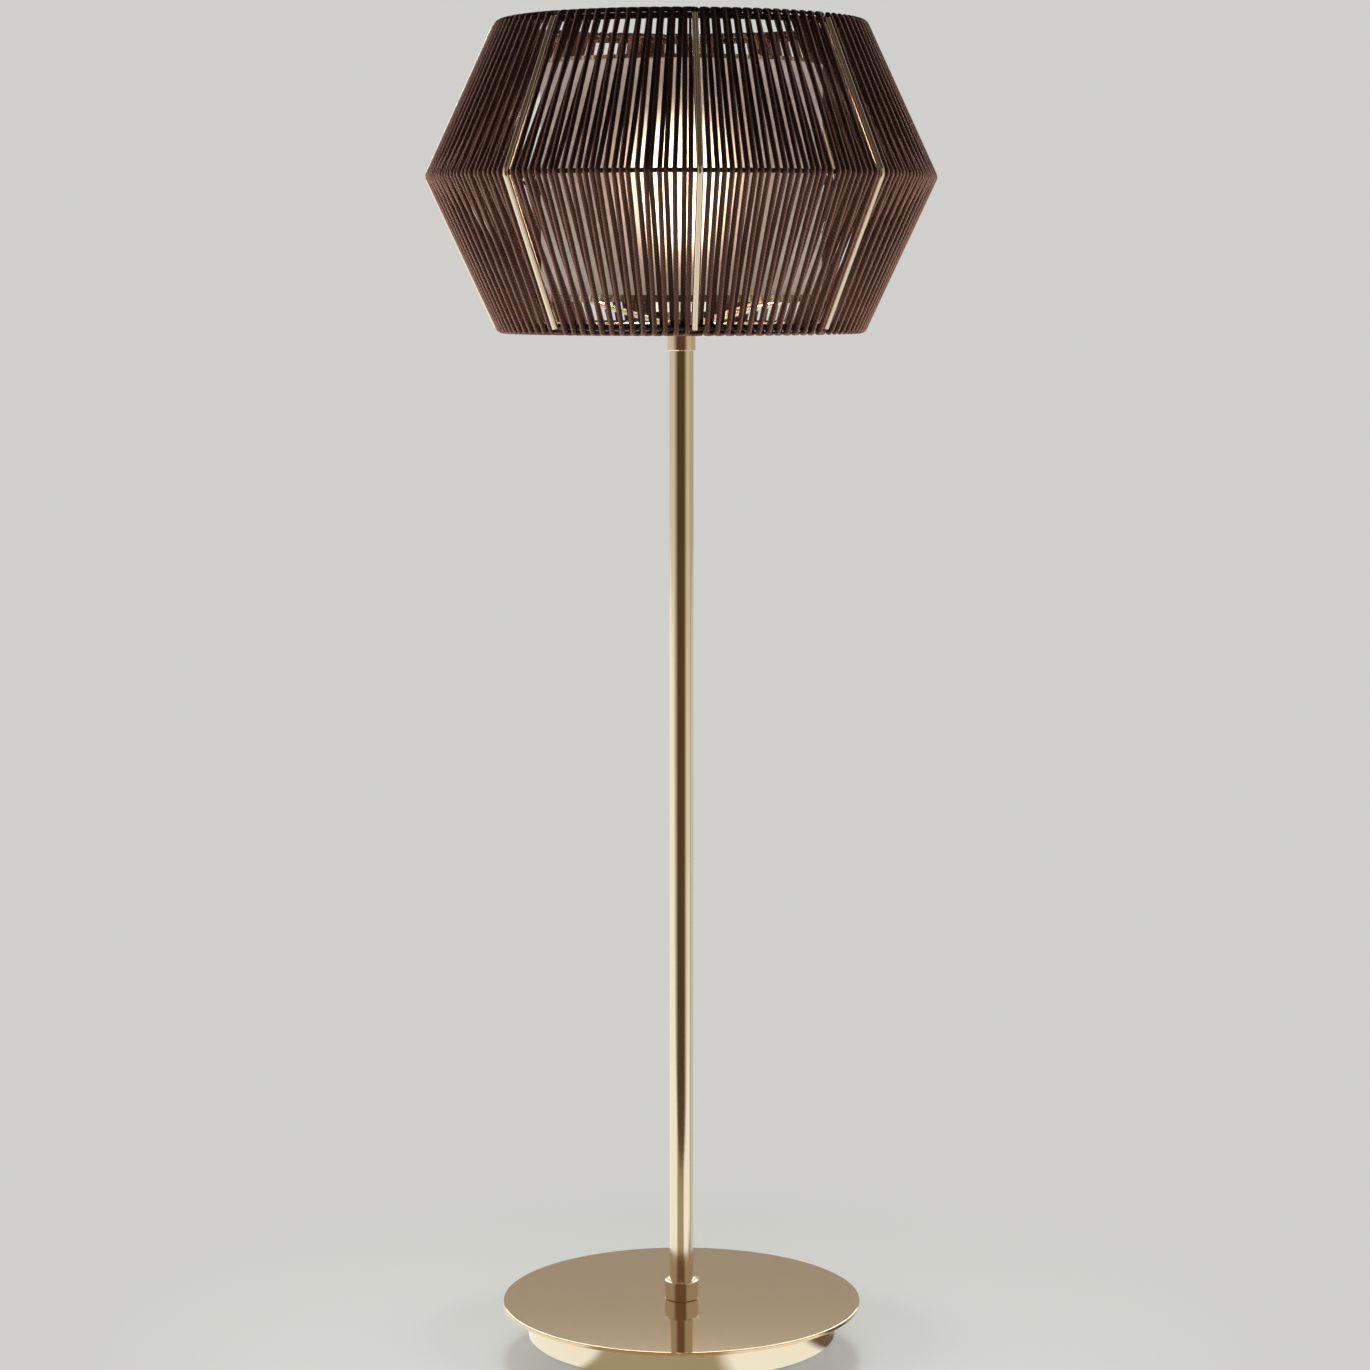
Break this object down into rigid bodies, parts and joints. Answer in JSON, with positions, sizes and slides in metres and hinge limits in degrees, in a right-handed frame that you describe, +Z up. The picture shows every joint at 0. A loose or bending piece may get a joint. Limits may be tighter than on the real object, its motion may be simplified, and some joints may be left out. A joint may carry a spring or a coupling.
{
  "type": "table lamp",
  "caption": "Tall table lamp: stepped round brass base, slim stem, and a double-cone shade of brown cord strung over brass ribs around a white inner diffuser.",
  "frame": {"origin": "on the table, under the middle of the round base", "axes": "+Z up along the stem, -Y towards the viewer of the picture, +X to the right"},
  "size_m": [0.3342, 0.3342, 0.8795],
  "materials": {
    "brass": "polished",
    "rose_brass": "polished",
    "steel": "zinc plated",
    "iron": "raw casting",
    "felt": "pressed felt",
    "bronze": "dark bronze lacquer",
    "cord": "waxed cotton cord",
    "opal": "satin opal",
    "holder_plastic": "moulded",
    "bush_plastic": "moulded",
    "nickel": "plated"
  },
  "bodies": {
    "stand": {"base_drum": "brass", "lower_collar": "brass", "stem_tube": "brass", "upper_collar": "brass", "bearing_washer": "brass", "screw_shell": "brass", "centre_contact": "brass", "base_plate": "rose_brass", "bottom_cover": "steel", "cover_screws": "steel", "base_washer": "steel", "base_nut": "steel", "lower_nipple": "steel", "stem_foot_plug": "steel", "stem_head_plug": "steel", "upper_nipple": "steel", "spring_washer": "steel", "hub_lock_nut": "steel", "base_weight": "iron", "felt_pad": "felt", "holder_cap": "holder_plastic", "holder_body": "holder_plastic", "holder_insulator": "holder_plastic", "cable_bush": "bush_plastic"},
    "shade": {"spider_hub": "brass", "bottom_ring": "bronze", "mid_ring": "bronze", "top_ring": "bronze", "diffuser_sleeve": "opal", "diffuser_bottom_trim": "brass", "diffuser_top_trim": "brass", "spider_arm_1": "brass", "spider_arm_2": "brass", "spider_arm_3": "brass", "spider_arm_4": "brass", "diffuser_arm_1": "brass", "diffuser_arm_2": "brass", "diffuser_arm_3": "brass", "diffuser_arm_4": "brass", "rib_1": "brass", "rib_2": "brass", "rib_3": "brass", "rib_4": "brass", "rib_5": "brass", "rib_6": "brass", "rib_7": "brass", "rib_8": "brass", "cord_bay_1": "cord", "cord_bay_2": "cord", "cord_bay_3": "cord", "cord_bay_4": "cord", "cord_bay_5": "cord", "cord_bay_6": "cord", "cord_bay_7": "cord", "cord_bay_8": "cord"},
    "bulb_tip": {"bulb_eyelet": "brass"},
    "bulb": {"bulb_globe": "opal", "bulb_housing": "opal", "bulb_cap": "nickel"}
  },
  "joints": [
    {"name": "shade_turn", "type": "hinge", "parent": "stand", "child": "shade", "pos_m": [0, 0, 0.68235], "axis": [0, 0, 1], "continuous": true},
    {"name": "bulb_rise", "type": "slide", "parent": "stand", "child": "bulb_tip", "axis": [0, 0, 1], "range_m": [0, 0.0182]},
    {"name": "bulb_turn", "type": "hinge", "parent": "bulb_tip", "child": "bulb", "pos_m": [0, 0, 0.7091], "axis": [0, 0, 1], "range_deg": [0, 1800]}
  ],
  "couplings": [
    {"joint": "bulb_rise", "follows": "bulb_turn", "m_per_rad": 0.00057757}
  ]
}
